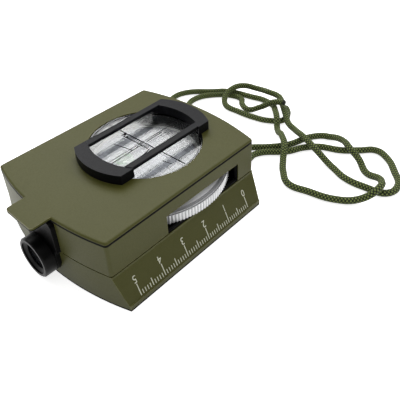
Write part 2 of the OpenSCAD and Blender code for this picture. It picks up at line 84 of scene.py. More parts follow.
def dress(name, material):
    mesh = nodes[name].data
    mesh.materials.clear()
    mesh.materials.append(material)


def newPiece(name, mesh, material, body):
    mesh.name = name
    mesh.materials.clear()
    mesh.materials.append(material)
    piece = bpy.data.objects.new(name, mesh)
    scene.collection.objects.link(piece)
    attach(piece, body)
    return piece


def meshFrom(bm, name):
    mesh = bpy.data.meshes.new(name)
    bm.to_mesh(mesh)
    bm.free()
    return mesh


def addBar(bm, matrix, centre, size, turn=0.0):
    # one thin printed bar, in mm, on the plane that the matrix stands for
    place = matrix @ Matrix.Translation(mm(*centre)) @ Matrix.Rotation(turn, 4, "Z")
    bmesh.ops.create_cube(bm, size=1.0, matrix=place @ Matrix.Diagonal((*mm(*size), 1.0)))


figureShape = {
    "steps": 3,       # in each piece of a figure's outline
    "squeeze": 0.85,  # of the width
}


def addText(bm, words, matrix, size, thick):
    # flat figures, centred on the matrix, in mm
    curve = bpy.data.curves.new("figures", "FONT")
    curve.body = words
    curve.size = size * milli
    curve.extrude = thick * halfMilli
    curve.resolution_u = figureShape["steps"]
    curve.align_x = "CENTER"
    curve.align_y = "CENTER"
    carrier = bpy.data.objects.new("figures", curve)
    scene.collection.objects.link(carrier)
    bpy.context.view_layer.update()
    flat = bpy.data.meshes.new_from_object(carrier)
    flat.transform(matrix @ Matrix.Diagonal((figureShape["squeeze"], 1.0, 1.0, 1.0)))
    bm.from_mesh(flat)
    bpy.data.meshes.remove(flat)
    bpy.data.objects.remove(carrier)
    bpy.data.curves.remove(curve)


# the camera stands where the photograph was taken from
view = {
    "eye": (115.3, -85.7, 127.7),  # mm
    "azimuth": 45.014,  # degrees, as the next two
    "elevation": 35.148,
    "roll": -3.216,
    "lens": 47.781,  # mm
    "sensor": 36,
    "shiftX": 0.02255,
    "shiftY": -0.14296,
    "nearest": 0.005,  # m
    "farthest": 20,
}


def addCamera(v):
    azimuth, elevation, roll = (math.radians(v[k]) for k in ("azimuth", "elevation", "roll"))
    level = math.cos(elevation)
    back = Vector((math.sin(azimuth) * level, -math.cos(azimuth) * level, math.sin(elevation)))
    side = Vector((0, 0, 1)).cross(back).normalized()
    head = back.cross(side)
    right = side * math.cos(roll) + head * math.sin(roll)
    up = head * math.cos(roll) - side * math.sin(roll)
    turn = Matrix((right, up, back)).transposed().to_4x4()
    data = bpy.data.cameras.new("photoCamera")
    data.sensor_width = v["sensor"]
    data.lens = v["lens"]
    data.shift_x = v["shiftX"]
    data.shift_y = v["shiftY"]
    data.clip_start = v["nearest"]
    data.clip_end = v["farthest"]
    holder = bpy.data.objects.new("photoCamera", data)
    holder.matrix_world = Matrix.Translation(mm(*v["eye"])) @ turn
    scene.collection.objects.link(holder)
    scene.camera = holder


addCamera(view)
print("camera placed")

cord = {
    "diameter": 2.6,   # mm
    "spacing": 0.5,    # mm between rings
    "rings": 3,        # bevel resolution, 4 sides per quarter turn
    "smoothness": 24,  # steps between two points of the route, before it is spaced evenly
    "tip": 1.1,        # mm of rounded, melted end
    "tipEnd": 0.25,    # radius of the end's last ring, as a share
    "strands": 5,      # round the sleeve, coarser than the real 16, so that the plait shows
    "step": 1.2,       # mm along the cord from one crossing to the next
    "weave": 0.6,      # how far the lower strand too shapes a crossing, and not the upper alone
    "fibre": 0.3,      # mm, grain of the fuzz, coarser than the real fibres, so that it shows
    "fuzz": 0.72,      # what the deepest fuzz leaves of a strand's height
    "depth": 0.3,      # mm, height of the plait's relief
    "roughness": (0.7, 0.35),  # of the braid and of the melted end
    "melt": (0.6, 1.6),  # mm from the end between which the melted gloss fades
    "levels": (0.14, 0.5, 0.92),  # heights in the plait of the painted groove shade, the strand and the painted glint
    "grooveShade": "#0B0F05", "strand": "#3A4817", "glint": "#98A65A", "melted": "#1A1C10",
    "longRoute": [
        [0, 39, 8], [-2.5, 39, 8], [-6, 39.5, 7.5], [-20, 44.5, 4], [-34, 51.5, 1.3],
        [-41, 57.5, 1.3], [-43.5, 64, 1.3], [-42, 70, 1.3], [-32.5, 79, 1.3], [-28, 83, 1.3],
        [-15, 86.5, 1.3], [-8.5, 87.5, 1.3], [-3, 85.5, 2.2], [3, 79.5, 4.4], [7.5, 74.5, 4.2],
        [10, 71.5, 1.6], [15.5, 66.5, 3.8], [21.5, 60, 4.6], [24.5, 55, 2.4], [28.5, 49.5, 1.3],
        [34, 45, 1.3], [42, 46, 1.3], [50.5, 48, 1.3], [58, 53, 2], [61.5, 59, 4.6],
        [59.5, 65.5, 3.6], [52, 69, 1.3], [47, 72.5, 3], [42, 74.5, 4.6], [36, 79, 3.5],
        [29, 80.5, 1.3], [24.5, 77, 1.3], [19.5, 65, 1.3], [14.5, 59, 1.3], [9.5, 54.5, 1.3],
        [5, 48.5, 1.3], [5.5, 42.5, 1.3], [11, 41, 1.3], [13.5, 46, 1.3], [13.5, 52, 1.3],
        [22.5, 62, 1.3], [25.5, 67.5, 1.3], [30, 72, 1.3], [38, 75.5, 1.3], [43.5, 80, 1.3],
        [48.5, 84, 1.3], [54, 82, 1.3], [60, 76, 1.3], [64.5, 69.5, 1.3], [63.5, 63, 1.3],
        [56, 61, 1.3], [48, 61, 1.3], [40.5, 64, 1.3], [29, 67.5, 4.4], [23.5, 70, 4.6],
        [17, 74, 3], [12, 76.5, 3], [8, 80, 4.4], [3, 85, 4.4], [-2.5, 90, 4.4], [-9, 90.5, 4.4],
        [-15.5, 91, 3.6], [-21.5, 88, 4.4], [-23.5, 82.5, 4.6], [-23, 76.5, 3], [-19.5, 73, 1.3],
        [-12, 72.5, 1.3], [-4, 73, 1.3], [3, 75, 1.3], [7.5, 79, 1.3], [6, 85, 1.3], [2, 89, 1.3],
    ],
    "shortRoute": [
        [0, 39, 8], [2.5, 39, 8], [5, 40, 7.5], [6, 44.5, 5.5], [-2, 49, 3], [-14, 52.5, 1.3],
        [-26, 56, 1.3], [-33, 62, 1.3], [-34.5, 69, 1.3], [-28.5, 78.5, 1.3], [-24, 81.3, 1.3],
        [-18, 82, 1.3], [-14.5, 78.5, 1.3], [-9.5, 76.5, 1.3], [-4.5, 79, 3.4], [0.5, 81, 6.8],
        [6.5, 82, 8.4],
    ],
}


def curveObject(name, kind, points):
    curve = bpy.data.curves.new(name, "CURVE")
    curve.dimensions = "3D"
    spline = curve.splines.new(kind)
    knots = spline.bezier_points if kind == "BEZIER" else spline.points
    knots.add(len(points) - 1)
    for knot, point in zip(knots, points):
        if kind == "BEZIER":
            knot.co = point
            knot.handle_left_type = knot.handle_right_type = "AUTO"
        else:
            knot.co = (*point, 1.0)
    carrier = bpy.data.objects.new(name, curve)
    scene.collection.objects.link(carrier)
    return carrier


def asMesh(carrier):
    # the curve's mesh, with the curve itself taken away
    bpy.context.view_layer.update()
    shaped = carrier.evaluated_get(bpy.context.evaluated_depsgraph_get())
    mesh = bpy.data.meshes.new_from_object(shaped)
    curve = carrier.data
    bpy.data.objects.remove(carrier)
    bpy.data.curves.remove(curve)
    return mesh


def smoothRoute(route, c):
    # evenly spaced points along a smooth curve through the route, never below the floor
    carrier = curveObject("route", "BEZIER", [mm(*p) for p in route])
    carrier.data.resolution_u = c["smoothness"]
    line = asMesh(carrier)
    dense = [v.co.copy() for v in line.vertices]
    bpy.data.meshes.remove(line)
    floorLevel = c["diameter"] * halfMilli
    for point in dense:
        point.z = max(point.z, floorLevel)
    along = [0.0]
    for before, after in zip(dense, dense[1:]):
        along.append(along[-1] + (after - before).length)
    count = max(2, round(along[-1] / (c["spacing"] * milli)))
    even, j = [], 0
    for i in range(count + 1):
        goal = along[-1] * i / count
        while j < len(along) - 2 and along[j + 1] < goal:
            j += 1
        span = along[j + 1] - along[j]
        even.append(dense[j].lerp(dense[j + 1], (goal - along[j]) / span if span else 0.0))
    return even, along[-1]


def laceCord(name, node, route, material, c):
    points, length = smoothRoute(route, c)
    carrier = curveObject(name, "POLY", points)
    carrier.data.bevel_depth = c["diameter"] * halfMilli
    carrier.data.bevel_resolution = c["rings"]
    carrier.data.use_fill_caps = True
    carrier.data.twist_mode = "MINIMUM"
    step = length / (len(points) - 1)
    for i, knot in enumerate(carrier.data.splines[0].points):
        left = (len(points) - 1 - i) * step / (c["tip"] * milli)
        if left < 1:
            knot.radius = max(c["tipEnd"], math.sqrt(1 - (1 - left) ** 2))
    mesh = asMesh(carrier)
    for face in mesh.polygons:
        face.use_smooth = True
    # the UV map runs in mm from the melted end, and once round the cord
    for corner in mesh.uv_layers[0].data:
        corner.uv = ((1 - corner.uv.x) * length / milli, corner.uv.y)
    piece = newPiece(name, mesh, material, "case")
    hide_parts(node)


def braidedNylon(c):
    # Nylon paracord sleeve, plaited: green strands with painted shade in the grooves between them
    # and a painted pale glint on each crown, shiny and darker where the end was melted.
    material, tree = newMaterial("braidedNylon")
    parts = addNode(tree, "SeparateXYZ", {0: addNode(tree, "UVMap").outputs[0]}).outputs
    along = addNode(tree, "Math", {0: parts[0], 1: 1 / c["step"]}, operation="MULTIPLY").outputs[0]
    around = addNode(tree, "Math", {0: parts[1], 1: float(c["strands"])},
                     operation="MULTIPLY").outputs[0]
    crowns, cells = [], []
    for hand in ("ADD", "SUBTRACT"):  # right-hand and left-hand strands
        turn = addNode(tree, "Math", {0: along, 1: around}, operation=hand).outputs[0]
        cells.append(addNode(tree, "Math", {0: turn}, operation="FLOOR").outputs[0])
        share = addNode(tree, "Math", {0: turn}, operation="FRACT").outputs[0]
        half = addNode(tree, "Math", {0: share, 1: math.pi}, operation="MULTIPLY").outputs[0]
        crowns.append(addNode(tree, "Math", {0: half}, operation="SINE").outputs[0])
    total = addNode(tree, "Math", {0: cells[0], 1: cells[1]}, operation="ADD").outputs[0]
    odd = addNode(tree, "Math", {0: total, 1: 2.0}, operation="MODULO").outputs[0]
    over = addNode(tree, "Math", {0: odd}, operation="ABSOLUTE").outputs[0]
    picked = addNode(tree, "Mix", {0: over, 2: crowns[0], 3: crowns[1]},
                     data_type="FLOAT").outputs[0]
    product = addNode(tree, "Math", {0: crowns[0], 1: crowns[1]}, operation="MULTIPLY").outputs[0]
    relief = addNode(tree, "Mix", {0: c["weave"], 2: picked, 3: product},
                     data_type="FLOAT").outputs[0]
    place = addNode(tree, "TexCoord").outputs["Object"]
    fibre = addNode(tree, "TexNoise", {"Vector": place, "Scale": perMm(c["fibre"]),
                                       "Detail": 3.0}).outputs[0]
    fuzz = addNode(tree, "MapRange", {0: fibre, **noiseSpan, 3: c["fuzz"], 4: 1.0}).outputs[0]
    tone = addNode(tree, "Math", {0: relief, 1: fuzz}, operation="MULTIPLY").outputs[0]
    colour = addNode(tree, "ValToRGB", {0: tone})
    ramp = colour.color_ramp
    # painted shade in the grooves and a painted highlight on the crowns
    grooveShade, strand, glint = c["levels"]
    ramp.elements[0].position, ramp.elements[0].color = grooveShade, linear(c["grooveShade"])
    ramp.elements[1].position, ramp.elements[1].color = strand, linear(c["strand"])
    ramp.elements.new(glint).color = linear(c["glint"])
    near, far = c["melt"]
    melted = addNode(tree, "MapRange", {0: parts[0], 1: near, 2: far, 3: 1.0, 4: 0.0}).outputs[0]
    paint = addNode(tree, "Mix", {0: melted, 6: colour.outputs[0], 7: c["melted"]},
                    data_type="RGBA").outputs[2]
    braid, gloss = c["roughness"]
    rough = addNode(tree, "MapRange", {0: melted, 3: braid, 4: gloss}).outputs[0]
    bump = addNode(tree, "Bump", {"Height": tone, "Strength": 1.0,
                                  "Distance": c["depth"] * milli}).outputs[0]
    shader = addNode(tree, "BsdfPrincipled", {
        "Base Color": paint, "Roughness": rough, "Normal": bump, "IOR": 1.53,
        "Specular IOR Level": 0.25, "Sheen Weight": 0.08, "Sheen Roughness": 0.5,
    })
    addNode(tree, "OutputMaterial", {"Surface": shader.outputs[0]})
    return material


cordMaterial = braidedNylon(cord)
laceCord("longCord", "lanyard_long", cord["longRoute"], cordMaterial, cord)
laceCord("shortCord", "lanyard_short", cord["shortRoute"], cordMaterial, cord)
print("lanyard laid")

edgeBend = {1: 0.98, 2: 0.80}  # cosine between the two normals where the edge wear and painted highlight start and are full


# edges that take both real wear and a painted highlight
def wornEdges(tree, radius):
    # 1 on sharp edges, from how a rounded normal leaves the flat one
    rounded = addNode(tree, "Bevel", {"Radius": radius * milli}, samples=4).outputs[0]
    flat = addNode(tree, "NewGeometry").outputs["Normal"]
    dot = addNode(tree, "VectorMath", {0: rounded, 1: flat},
                  operation="DOT_PRODUCT").outputs["Value"]
    return addNode(tree, "MapRange", {0: dot, **edgeBend, 3: 0.0, 4: 1.0}).outputs[0]


caseInside = {
    # the closed case, in metres
    "halfWidth": 0.0271, "halfLength": 0.03575, "top": 0.0254,
    "endRadius": 0.0961,    # of the convex ends
    "lean": 0.46237,        # of the ruler bevel, width lost per height
    "bevelStart": 0.03232,  # half width where the bevel's plane meets the floor
    "skin": 0.00035,        # depth below the surface at which the inside starts
    "paint": "#0B0B0A", "roughness": 0.85,
}


def insideCase(tree, c):
    # 1 on every surface that lies inside the closed case, by the place alone
    place = addNode(tree, "TexCoord").outputs["Object"]
    sides = addNode(tree, "VectorMath", {0: place}, operation="ABSOLUTE").outputs[0]
    x, _, z = addNode(tree, "SeparateXYZ", {0: sides}).outputs
    height = addNode(tree, "SeparateXYZ", {0: place}).outputs[2]
    slope = addNode(tree, "Math", {0: z, 1: -c["lean"], 2: c["bevelStart"]},
                    operation="MULTIPLY_ADD").outputs[0]
    wide = addNode(tree, "Math", {0: slope, 1: c["halfWidth"]}, operation="MAXIMUM").outputs[0]
    half = addNode(tree, "Math", {0: wide, 1: c["skin"]}, operation="SUBTRACT").outputs[0]
    behind = c["endRadius"] - c["halfLength"]  # how far back an end's centre of curvature lies
    reach = addNode(tree, "VectorMath", {0: sides, 1: (0.0, behind, 0.0)},
                    operation="ADD").outputs[0]
    level = addNode(tree, "VectorMath", {0: reach, 1: (1.0, 1.0, 0.0)},
                    operation="MULTIPLY").outputs[0]
    radius = addNode(tree, "VectorMath", {0: level}, operation="LENGTH").outputs["Value"]
    tests = [
        (x, half, "LESS_THAN"),
        (radius, c["endRadius"] - c["skin"], "LESS_THAN"),
        (height, c["skin"], "GREATER_THAN"),
        (height, c["top"] - c["skin"], "LESS_THAN"),
    ]
    mask, *others = [addNode(tree, "Math", {0: value, 1: limit}, operation=test).outputs[0]
                     for value, limit, test in tests]
    for passed in others:
        mask = addNode(tree, "Math", {0: mask, 1: passed}, operation="MULTIPLY").outputs[0]
    return mask


sprayed = {
    "patch": 2.2,      # mm, size of the patches in the edge wear and painted highlight
    "dots": 0.4,       # how far the specks colour the ground
    "leastWearAndHighlight": 0.1,  # along the edges, the least share of the wear and painted highlight
    "depth": 0.03,     # mm, height of the orange peel
}


def enamel(name, c):
    # Baked epoxy enamel sprayed on a zinc die casting: a satin skin with a fine orange peel,
    # a little rubbed and paler along the edges, partly wear and partly a painted highlight,
    # painted shade in dark lines at given heights, and dull black inside the case.
    material, tree = newMaterial(name)
    place = addNode(tree, "TexCoord").outputs["Object"]
    cloud = addNode(tree, "TexNoise", {"Vector": place, "Scale": perMm(c["cloud"]),
                                       "Detail": 3.0}).outputs[0]
    grain = addNode(tree, "TexNoise", {"Vector": place, "Scale": perMm(c["grain"]),
                                       "Detail": 2.0}).outputs[0]
    patch = addNode(tree, "TexNoise", {"Vector": place, "Scale": perMm(sprayed["patch"]),
                                       "Detail": 4.0, "Roughness": 0.7}).outputs[0]
    tone = addNode(tree, "Mix", {0: cloud, 6: c["dark"], 7: c["light"]},
                   data_type="RGBA").outputs[2]
    dots = addNode(tree, "MapRange", {0: grain, **noiseSpan, 3: 0.0,
                                      4: sprayed["dots"]}).outputs[0]
    speckled = addNode(tree, "Mix", {0: dots, 6: tone, 7: c["speck"]},
                       data_type="RGBA").outputs[2]
    patchShare = addNode(tree, "MapRange", {0: patch, **noiseSpan, 3: sprayed["leastWearAndHighlight"],
                                        4: c["wearAndHighlight"]}).outputs[0]
    # edge colour: partly rubbed paint, partly a painted highlight along the edges
    wornAndLit = addNode(tree, "Math", {0: wornEdges(tree, c["edge"]), 1: patchShare},
                   operation="MULTIPLY").outputs[0]
    paint = addNode(tree, "Mix", {0: wornAndLit, 6: speckled, 7: c["rubAndHighlight"]}, data_type="RGBA").outputs[2]
    low, high = c["roughness"]
    rough = addNode(tree, "MapRange", {0: grain, **noiseSpan, 3: low, 4: high}).outputs[0]
    height = addNode(tree, "SeparateXYZ", {0: place}).outputs[2]
    # painted shade: dark, fully rough bands at the given heights, a shadow line under the top
    # plate's edge and a contact shadow along the foot
    for level, reach in c.get("shadeLines", []):
        shaded = addNode(tree, "Math", {0: height, 1: level * milli, 2: reach * milli},
                        operation="COMPARE").outputs[0]
        paint = addNode(tree, "Mix", {0: shaded, 6: paint, 7: c["shadeColour"]},
                        data_type="RGBA").outputs[2]
        rough = addNode(tree, "Mix", {0: shaded, 2: rough, 3: 1.0}, data_type="FLOAT").outputs[0]
    if "inside" in c:
        hollow = c["inside"]
        inside = insideCase(tree, hollow)
        paint = addNode(tree, "Mix", {0: inside, 6: paint, 7: hollow["paint"]},
                        data_type="RGBA").outputs[2]
        rough = addNode(tree, "Mix", {0: inside, 2: rough, 3: hollow["roughness"]},
                        data_type="FLOAT").outputs[0]
    bump = addNode(tree, "Bump", {"Height": grain, "Strength": c["peel"],
                                  "Distance": sprayed["depth"] * milli}).outputs[0]
    shader = addNode(tree, "BsdfPrincipled", {
        "Base Color": paint, "Roughness": rough, "Normal": bump, "IOR": 1.5,
        "Specular IOR Level": c["shine"],
    })
    addNode(tree, "OutputMaterial", {"Surface": shader.outputs[0]})
    return material


# each enamel's pale edge colour is partly wear and partly a painted highlight
oliveEnamel = enamel("oliveEnamel", {
    "dark": "#48481C", "light": "#4E4E20", "speck": "#424218", "rubAndHighlight": "#9A986C",
    "cloud": 18, "grain": 0.45, "edge": 0.35,  # mm
    "wearAndHighlight": 0.8, "peel": 0.25, "shine": 0.2, "roughness": (0.42, 0.5),
    "shadeLines": [(24.35, 0.36), (0, 0.6)],  # mm, middle and reach of the painted shade lines, by height: a shadow line under the top plate's edge and a contact shadow along the foot
    # the colour of the painted shade lines
    "shadeColour": "#030302", "inside": caseInside,
})
blackEnamel = enamel("blackEnamel", {
    "dark": "#0B0B0F", "light": "#101015", "speck": "#08080B", "rubAndHighlight": "#3A3A42",
    "cloud": 12, "grain": 0.4, "edge": 0.25,
    "wearAndHighlight": 0.4, "peel": 0.3, "shine": 0.15, "roughness": (0.4, 0.5),
})
# the housing's pale edges are mostly a painted highlight
housingPaint = enamel("housingPaint", {
    "dark": "#020202", "light": "#050505", "speck": "#020202", "rubAndHighlight": "#5A5A5A",
    "cloud": 8, "grain": 0.5, "edge": 0.3,
    "wearAndHighlight": 0.9, "peel": 0.1, "shine": 0.08, "roughness": (0.42, 0.5),
})

moulded = {
    "scratch": 0.5,   # mm, wider than real handling scratches, so that they show
    "stretch": 0.12,  # the pattern's scale along Y, which draws the scratches out
    "depth": 0.02,    # mm, height of the grain
}


def mouldedPlastic(name, c):
    # Injection-moulded plastic: even colour with faint flow clouds, and fine handling scratches
    # in the gloss.
    material, tree = newMaterial(name)
    place = addNode(tree, "TexCoord").outputs["Object"]
    cloud = addNode(tree, "TexNoise", {"Vector": place, "Scale": perMm(c["cloud"]),
                                       "Detail": 3.0}).outputs[0]
    grain = addNode(tree, "TexNoise", {"Vector": place, "Scale": perMm(c["grain"]),
                                       "Detail": 2.0}).outputs[0]
    long = addNode(tree, "Mapping", {"Vector": place, "Scale": (1.0, moulded["stretch"], 1.0)})
    scratch = addNode(tree, "TexNoise", {"Vector": long.outputs[0],
                                         "Scale": perMm(moulded["scratch"]),
                                         "Detail": 3.0}).outputs[0]
    paint = addNode(tree, "Mix", {0: cloud, 6: c["dark"], 7: c["light"]},
                    data_type="RGBA").outputs[2]
    low, high = c["roughness"]
    rough = addNode(tree, "MapRange", {0: scratch, **noiseSpan, 3: low, 4: high}).outputs[0]
    bump = addNode(tree, "Bump", {"Height": grain, "Strength": c["bump"],
                                  "Distance": moulded["depth"] * milli}).outputs[0]
    shader = addNode(tree, "BsdfPrincipled", {
        "Base Color": paint, "Roughness": rough, "Normal": bump, "IOR": c["ior"],
        "Specular IOR Level": c["shine"],
    })
    addNode(tree, "OutputMaterial", {"Surface": shader.outputs[0]})
    return material


blackAbs = mouldedPlastic("blackAbs", {
    "dark": "#030303", "light": "#060606", "cloud": 6, "grain": 0.6,  # mm
    "bump": 0.03, "ior": 1.53, "shine": 0.12, "roughness": (0.34, 0.42),
})
acetal = mouldedPlastic("whiteAcetal", {
    "dark": "#D6D2C6", "light": "#DEDBD0", "cloud": 5, "grain": 0.3,
    "bump": 0.2, "ior": 1.48, "shine": 0.5, "roughness": (0.4, 0.5),
})
nitrile = mouldedPlastic("nitrileRubber", {
    "dark": "#080808", "light": "#0F0F0E", "cloud": 3, "grain": 0.25,
    "bump": 0.5, "ior": 1.52, "shine": 0.2, "roughness": (0.75, 0.9),
})
# a brushed-on lacquer flows out as smooth as a moulded skin
pendulumLacquer = mouldedPlastic("redLacquer", {
    "dark": "#9A1A10", "light": "#A82216", "cloud": 4, "grain": 0.4,
    "bump": 0.15, "ior": 1.5, "shine": 0.5, "roughness": (0.3, 0.4),
})

azimuthCentre = (0, 7.35, 0)  # mm
turned = {
    # each metal's "ring" is in mm, coarser than real tool rings, so that they show
    "tarnish": 4,    # mm, size of its clouds
    "depth": 0.02,   # mm, height of the tool rings
    "margin": 0.15,  # mm inside the knurl's foot that the shade reaches
}


def turnedMetal(name, c):
    # Turned metal: fine tool rings round its own axis, each a little rougher or brighter than
    # the next, and grey shade in the valleys of a knurl.
    material, tree = newMaterial(name)
    place = addNode(tree, "TexCoord").outputs["Object"]
    point = addNode(tree, "Mapping", {"Vector": place, "Location": -mm(*c["centre"])}).outputs[0]
    flat = addNode(tree, "VectorMath", {0: point, 1: (1.0, 1.0, 0.0)},
                   operation="MULTIPLY").outputs[0]
    radius = addNode(tree, "VectorMath", {0: flat}, operation="LENGTH").outputs["Value"]
    height = addNode(tree, "SeparateXYZ", {0: point}).outputs[2]
    both = addNode(tree, "Math", {0: radius, 1: height}, operation="ADD").outputs[0]
    rings = addNode(tree, "TexNoise", {"W": both, "Scale": perMm(c["ring"]), "Detail": 2.0},
                    noise_dimensions="1D").outputs[0]
    tarnish = addNode(tree, "TexNoise", {"Vector": place, "Scale": perMm(turned["tarnish"]),
                                         "Detail": 4.0}).outputs[0]
    paint = addNode(tree, "Mix", {0: tarnish, 6: c["dark"], 7: c["light"]},
                    data_type="RGBA").outputs[2]
    if "valley" in c:
        foot, crest = c["valley"]
        deep = addNode(tree, "MapRange", {0: radius, 1: foot * milli, 2: crest * milli,
                                          3: 1.0, 4: 0.0}).outputs[0]
        outer = addNode(tree, "Math", {0: radius, 1: (foot - turned["margin"]) * milli},
                        operation="GREATER_THAN").outputs[0]
        low = addNode(tree, "Math", {0: height, 1: c["knurlTop"] * milli},
                      operation="LESS_THAN").outputs[0]
        band = addNode(tree, "Math", {0: outer, 1: low}, operation="MULTIPLY").outputs[0]
        share = addNode(tree, "Math", {0: deep, 1: band}, operation="MULTIPLY").outputs[0]
        paint = addNode(tree, "Mix", {0: share, 6: paint, 7: c["shade"]},
                        data_type="RGBA").outputs[2]
    low, high = c["roughness"]
    rough = addNode(tree, "MapRange", {0: rings, **noiseSpan, 3: low, 4: high}).outputs[0]
    bump = addNode(tree, "Bump", {"Height": rings, "Strength": c["bump"],
                                  "Distance": turned["depth"] * milli}).outputs[0]
    shader = addNode(tree, "BsdfPrincipled", {
        "Base Color": paint, "Metallic": c["metallic"], "Roughness": rough, "Normal": bump,
    })
    addNode(tree, "OutputMaterial", {"Surface": shader.outputs[0]})
    return material


satinAluminium = turnedMetal("satinAluminium", {
    "dark": "#E4E5E7", "light": "#FAFAFA", "metallic": 0.5, "ring": 0.18, "bump": 0.3,
    "roughness": (0.34, 0.46), "centre": azimuthCentre,
    "valley": (27.9, 28.25), "knurlTop": 16.3,  # mm, radii of the knurl's foot and crest
    "shade": "#6E6F72",
})
screwSteel = turnedMetal("zincPlatedSteel", {
    "dark": "#B4B6B8", "light": "#C6C7C8", "metallic": 1.0, "ring": 0.15, "bump": 0.3,
    "roughness": (0.25, 0.4), "centre": (0, 0, 0),
})
turnedBrass = turnedMetal("turnedBrass", {
    "dark": "#B8944E", "light": "#C9A660", "metallic": 1.0, "ring": 0.15, "bump": 0.25,
    "roughness": (0.2, 0.35), "centre": azimuthCentre,
})
magnetSteel = turnedMetal("blackenedSteel", {
    "dark": "#4A4B4E", "light": "#5C5D60", "metallic": 1.0, "ring": 0.2, "bump": 0.3,
    "roughness": (0.4, 0.55), "centre": azimuthCentre,
})

smearSize = 5   # mm, of a smear on the glass
hazeSize = 1.5  # mm, of a cloud in the films


def clearGlass(name, c):
    # Polished clear glass or acrylic: a sharp reflection over what lies behind it, with light
    # smears of handling. Lamps shine through it, so that what it covers stays bright.
    material, tree = newMaterial(name)
    place = addNode(tree, "TexCoord").outputs["Object"]
    smear = addNode(tree, "TexNoise", {"Vector": place, "Scale": perMm(smearSize),
                                       "Detail": 4.0, "Roughness": 0.6}).outputs[0]
    low, high = c["roughness"]
    rough = addNode(tree, "MapRange", {0: smear, **noiseSpan, 3: low, 4: high}).outputs[0]
    pane = addNode(tree, "BsdfPrincipled", {
        "Base Color": c["tint"], "IOR": c["ior"], "Transmission Weight": 1.0, "Roughness": rough,
    })
    through = addNode(tree, "BsdfTransparent", {"Color": c["tint"]})
    lamp = addNode(tree, "LightPath").outputs["Is Shadow Ray"]
    mixed = addNode(tree, "MixShader", {0: lamp, 1: pane.outputs[0], 2: through.outputs[0]})
    addNode(tree, "OutputMaterial", {"Surface": mixed.outputs[0]})
    return material


acrylic = clearGlass("clearAcrylic", {"tint": "#FAFCFA", "ior": 1.49, "roughness": (0.02, 0.06)})
capAcrylic = clearGlass("capAcrylic", {"tint": "#FAFCFA", "ior": 1.49, "roughness": (0.03, 0.07)})
crownGlass = clearGlass("crownGlass", {"tint": "#F4F8FB", "ior": 1.52, "roughness": (0.0, 0.02)})


def clearFilm(name, c):
    # A thin clear body that hardly bends what lies behind it: only its tint and its shine show.
    material, tree = newMaterial(name)
    place = addNode(tree, "TexCoord").outputs["Object"]
    haze = addNode(tree, "TexNoise", {"Vector": place, "Scale": perMm(hazeSize),
                                      "Detail": 3.0}).outputs[0]
    paint = addNode(tree, "Mix", {0: haze, 6: c["dark"], 7: c["light"]},
                    data_type="RGBA").outputs[2]
    low, high = c["roughness"]
    rough = addNode(tree, "MapRange", {0: haze, **noiseSpan, 3: low, 4: high}).outputs[0]
    shader = addNode(tree, "BsdfPrincipled", {
        "Base Color": paint, "Roughness": rough, "IOR": c["ior"], "Alpha": c["cover"],
        "Specular IOR Level": c["shine"],
    })
    addNode(tree, "OutputMaterial", {"Surface": shader.outputs[0]})
    return material


vialAcrylic = clearFilm("vialAcrylic", {
    "dark": "#D6E2D4", "light": "#F0F6EE", "ior": 1.49, "cover": 0.06, "shine": 0.5,
    "roughness": (0.05, 0.1),
})
greenSpirit = clearFilm("greenSpirit", {
    "dark": "#3FA03E", "light": "#5CB454", "ior": 1.36, "cover": 0.75, "shine": 0.5,
    "roughness": (0.02, 0.06),
})
airBubble = clearFilm("airBubble", {
    "dark": "#E8F6E4", "light": "#F8FFF6", "ior": 1.3, "cover": 0.35, "shine": 0.5,
    "roughness": (0.02, 0.06),
})
# the lens of a deep, dark barrel, coated so that it hardly shines; its near-black, nearly opaque
# colour is painted shade for the dark inside of the barrel
eyeLens = clearFilm("darkenedLens", {
    "dark": "#08090B", "light": "#0E1014", "ior": 1.06, "cover": 0.93, "shine": 0.08,
    "roughness": (0.2, 0.3),
})

brushed = {
    # brush lines coarser than real ones, so that they show
    "streak": 0.6, "streakStretch": 0.1,  # mm across, and the scale along Y that draws it out
    "hatch": 0.5, "hatchStretch": 0.08,   # the same for the lines along X
    "span": {1: 0.75, 2: 1.25},           # where the sum of both mostly lies
    "strength": 0.03, "depth": 0.01,      # of the relief, its depth in mm
}


def brushedCard(name, c):
    # Silvered sheet brushed along the line of sight and across it: pale and grey streaks in a
    # satin ground.
    material, tree = newMaterial(name)
    place = addNode(tree, "TexCoord").outputs["Object"]
    alongY, alongX = (1.0, brushed["streakStretch"], 1.0), (brushed["hatchStretch"], 1.0, 1.0)
    long = addNode(tree, "Mapping", {"Vector": place, "Scale": alongY}).outputs[0]
    streaks = addNode(tree, "TexNoise", {"Vector": long, "Scale": perMm(brushed["streak"]),
                                         "Detail": 4.0, "Roughness": 0.7}).outputs[0]
    wide = addNode(tree, "Mapping", {"Vector": place, "Scale": alongX}).outputs[0]
    hatch = addNode(tree, "TexNoise", {"Vector": wide, "Scale": perMm(brushed["hatch"]),
                                       "Detail": 3.0, "Roughness": 0.7}).outputs[0]
    crossed = addNode(tree, "Math", {0: streaks, 1: hatch}, operation="ADD").outputs[0]
    share = addNode(tree, "MapRange", {0: crossed, **brushed["span"]}).outputs[0]
    paint = addNode(tree, "Mix", {0: share, 6: c["dark"], 7: c["light"]},
                    data_type="RGBA").outputs[2]
    low, high = c["roughness"]
    rough = addNode(tree, "MapRange", {0: streaks, **noiseSpan, 3: low, 4: high}).outputs[0]
    bump = addNode(tree, "Bump", {"Height": streaks, "Strength": brushed["strength"],
                                  "Distance": brushed["depth"] * milli}).outputs[0]
    shader = addNode(tree, "BsdfPrincipled", {
        "Base Color": paint, "Metallic": c["metallic"], "Roughness": rough, "Normal": bump,
    })
    addNode(tree, "OutputMaterial", {"Surface": shader.outputs[0]})
    return material


silveredCard = brushedCard("silveredCard", {
    "dark": "#50515A", "light": "#A0A1AC", "metallic": 0.1, "roughness": (0.45, 0.55),
})
